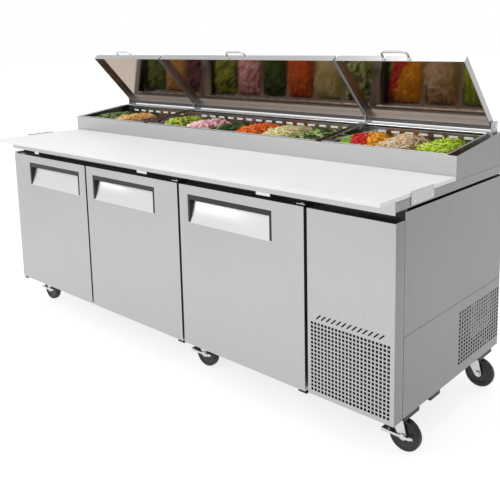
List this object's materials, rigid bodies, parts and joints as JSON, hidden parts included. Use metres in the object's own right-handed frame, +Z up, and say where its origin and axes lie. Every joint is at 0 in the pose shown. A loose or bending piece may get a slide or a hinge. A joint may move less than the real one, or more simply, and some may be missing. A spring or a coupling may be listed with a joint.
{
  "type": "sandwich prep table",
  "caption": "Long stainless refrigerated prep table: raised pan rail under hinged lids, deep cutting board, doors with recessed grips, a grilled machine bay, on casters.",
  "frame": {"origin": "on the floor, under the middle of the table's box", "axes": "+X to the right along the table's length, seen from the doors; +Y from the doors to the rear; +Z up"},
  "size_m": [2.414, 0.916, 1.3868],
  "materials": {
    "stainless": "fine-brushed stainless steel, satin",
    "stainless_dark": "plain galvanised rear sheet, dull",
    "cabinet_skin": "thin metal skins and aluminium liner over foam, satin",
    "mirror_lid": "polished stainless steel, nearly a mirror inside the lid",
    "aluminium": "bare finned coil, satin",
    "zinc": "bright zinc-plated pressed steel",
    "board_white": "white food-grade polyethylene, faintly textured",
    "black_plastic": "moulded plastic, satin black",
    "grey_gasket": "soft magnetic gasket, matte",
    "black_steel": "black enamel, satin",
    "wheel_black": "hard polyurethane tread and nylon web, satin black",
    "white_wire": "epoxy-coated wire, satin"
  },
  "bodies": {
    "table": {"base_frame": "black_steel", "board_bracket_left": "stainless", "board_bracket_right": "stainless", "cold_well": "stainless", "compressor": "black_steel", "condenser_coil": "aluminium", "evaporator": "aluminium", "front_frame": "black_steel", "front_panel": "stainless", "hinge_rail": "stainless", "insulated_cabinet": "cabinet_skin", "rail_housing": "stainless", "rear_panel": "stainless_dark", "shelf_1": "white_wire", "shelf_2": "white_wire", "shelf_3": "white_wire", "side_panel_lower": "stainless", "side_panel_upper": "stainless", "worktop": "stainless"},
    "board": {"cutting_board": "board_white"},
    "door_1": {"door_1": "stainless", "door_handle_1": "black_plastic", "door_gasket_1": "grey_gasket"},
    "door_2": {"door_2": "stainless", "door_handle_2": "black_plastic", "door_gasket_2": "grey_gasket"},
    "door_3": {"door_3": "stainless", "door_handle_3": "black_plastic", "door_gasket_3": "grey_gasket"},
    "fan": {"condenser_fan": "black_plastic"},
    "lid_1": {"lid_1": "mirror_lid", "lid_handle_1": "stainless"},
    "lid_2": {"lid_2": "mirror_lid", "lid_handle_2": "stainless"},
    "lid_3": {"lid_3": "mirror_lid", "lid_handle_3": "stainless"},
    "pan_01": {"pan_01": "stainless"},
    "pan_02": {"pan_02": "stainless"},
    "pan_03": {"pan_03": "stainless"},
    "pan_04": {"pan_04": "stainless"},
    "pan_05": {"pan_05": "stainless"},
    "pan_06": {"pan_06": "stainless"},
    "pan_07": {"pan_07": "stainless"},
    "pan_08": {"pan_08": "stainless"},
    "pan_09": {"pan_09": "stainless"},
    "pan_10": {"pan_10": "stainless"},
    "pan_11": {"pan_11": "stainless"},
    "pan_12": {"pan_12": "stainless"},
    "fork_front_left": {"caster_fork_front_left": "zinc"},
    "wheel_front_left": {"caster_wheel_front_left": "wheel_black"},
    "fork_front_middle": {"caster_fork_front_middle": "zinc"},
    "wheel_front_middle": {"caster_wheel_front_middle": "wheel_black"},
    "fork_front_right": {"caster_fork_front_right": "zinc"},
    "wheel_front_right": {"caster_wheel_front_right": "wheel_black"},
    "fork_rear_left": {"caster_fork_rear_left": "zinc"},
    "wheel_rear_left": {"caster_wheel_rear_left": "wheel_black"},
    "fork_rear_middle": {"caster_fork_rear_middle": "zinc"},
    "wheel_rear_middle": {"caster_wheel_rear_middle": "wheel_black"},
    "fork_rear_right": {"caster_fork_rear_right": "zinc"},
    "wheel_rear_right": {"caster_wheel_rear_right": "wheel_black"}
  },
  "joints": [
    {"name": "board_lift", "type": "slide", "parent": "table", "child": "board", "axis": [0, 0, 1], "range_m": [0, 0.1]},
    {"name": "door_1_swing", "type": "hinge", "parent": "table", "child": "door_1", "pos_m": [-1.167, -0.349, 0.5], "axis": [0, 0, -1], "range_deg": [0, 105]},
    {"name": "door_2_swing", "type": "hinge", "parent": "table", "child": "door_2", "pos_m": [0.127, -0.349, 0.5], "axis": [0, 0, 1], "range_deg": [0, 105]},
    {"name": "door_3_swing", "type": "hinge", "parent": "table", "child": "door_3", "pos_m": [0.7955, -0.349, 0.5], "axis": [0, 0, 1], "range_deg": [0, 105]},
    {"name": "fan_spin", "type": "hinge", "parent": "table", "child": "fan", "pos_m": [1, -0.185, 0.305], "axis": [0, 1, 0], "continuous": true},
    {"name": "lid_1_hinge", "type": "hinge", "parent": "table", "child": "lid_1", "pos_m": [0, 0.43, 1.0795], "axis": [-1, 0, 0], "range_deg": [-53.4, 0]},
    {"name": "lid_2_hinge", "type": "hinge", "parent": "table", "child": "lid_2", "pos_m": [0, 0.43, 1.0795], "axis": [-1, 0, 0], "range_deg": [-53.4, 0]},
    {"name": "lid_3_hinge", "type": "hinge", "parent": "table", "child": "lid_3", "pos_m": [0, 0.43, 1.0795], "axis": [-1, 0, 0], "range_deg": [-53.4, 0]},
    {"name": "pan_01_lift", "type": "slide", "parent": "table", "child": "pan_01", "axis": [0, 0, 1], "range_m": [0, 0.11]},
    {"name": "pan_02_lift", "type": "slide", "parent": "table", "child": "pan_02", "axis": [0, 0, 1], "range_m": [0, 0.11]},
    {"name": "pan_03_lift", "type": "slide", "parent": "table", "child": "pan_03", "axis": [0, 0, 1], "range_m": [0, 0.11]},
    {"name": "pan_04_lift", "type": "slide", "parent": "table", "child": "pan_04", "axis": [0, 0, 1], "range_m": [0, 0.11]},
    {"name": "pan_05_lift", "type": "slide", "parent": "table", "child": "pan_05", "axis": [0, 0, 1], "range_m": [0, 0.11]},
    {"name": "pan_06_lift", "type": "slide", "parent": "table", "child": "pan_06", "axis": [0, 0, 1], "range_m": [0, 0.11]},
    {"name": "pan_07_lift", "type": "slide", "parent": "table", "child": "pan_07", "axis": [0, 0, 1], "range_m": [0, 0.11]},
    {"name": "pan_08_lift", "type": "slide", "parent": "table", "child": "pan_08", "axis": [0, 0, 1], "range_m": [0, 0.11]},
    {"name": "pan_09_lift", "type": "slide", "parent": "table", "child": "pan_09", "axis": [0, 0, 1], "range_m": [0, 0.11]},
    {"name": "pan_10_lift", "type": "slide", "parent": "table", "child": "pan_10", "axis": [0, 0, 1], "range_m": [0, 0.11]},
    {"name": "pan_11_lift", "type": "slide", "parent": "table", "child": "pan_11", "axis": [0, 0, 1], "range_m": [0, 0.11]},
    {"name": "pan_12_lift", "type": "slide", "parent": "table", "child": "pan_12", "axis": [0, 0, 1], "range_m": [0, 0.11]},
    {"name": "swivel_front_left", "type": "hinge", "parent": "table", "child": "fork_front_left", "pos_m": [-1.15, -0.224, 0.138], "axis": [0, 0, 1], "continuous": true},
    {"name": "wheel_front_left_roll", "type": "hinge", "parent": "fork_front_left", "child": "wheel_front_left", "pos_m": [-1.122, -0.224, 0.06], "axis": [0, 1, 0], "continuous": true},
    {"name": "swivel_front_middle", "type": "hinge", "parent": "table", "child": "fork_front_middle", "pos_m": [0.122, -0.224, 0.138], "axis": [0, 0, 1], "continuous": true},
    {"name": "wheel_front_middle_roll", "type": "hinge", "parent": "fork_front_middle", "child": "wheel_front_middle", "pos_m": [0.15, -0.224, 0.06], "axis": [0, 1, 0], "continuous": true},
    {"name": "swivel_front_right", "type": "hinge", "parent": "table", "child": "fork_front_right", "pos_m": [1.119, -0.224, 0.138], "axis": [0, 0, 1], "continuous": true},
    {"name": "wheel_front_right_roll", "type": "hinge", "parent": "fork_front_right", "child": "wheel_front_right", "pos_m": [1.147, -0.224, 0.06], "axis": [0, 1, 0], "continuous": true},
    {"name": "swivel_rear_left", "type": "hinge", "parent": "table", "child": "fork_rear_left", "pos_m": [-1.15, 0.376, 0.138], "axis": [0, 0, 1], "continuous": true},
    {"name": "wheel_rear_left_roll", "type": "hinge", "parent": "fork_rear_left", "child": "wheel_rear_left", "pos_m": [-1.122, 0.376, 0.06], "axis": [0, 1, 0], "continuous": true},
    {"name": "swivel_rear_middle", "type": "hinge", "parent": "table", "child": "fork_rear_middle", "pos_m": [0.122, 0.376, 0.138], "axis": [0, 0, 1], "continuous": true},
    {"name": "wheel_rear_middle_roll", "type": "hinge", "parent": "fork_rear_middle", "child": "wheel_rear_middle", "pos_m": [0.15, 0.376, 0.06], "axis": [0, 1, 0], "continuous": true},
    {"name": "swivel_rear_right", "type": "hinge", "parent": "table", "child": "fork_rear_right", "pos_m": [1.119, 0.376, 0.138], "axis": [0, 0, 1], "continuous": true},
    {"name": "wheel_rear_right_roll", "type": "hinge", "parent": "fork_rear_right", "child": "wheel_rear_right", "pos_m": [1.147, 0.376, 0.06], "axis": [0, 1, 0], "continuous": true}
  ]
}
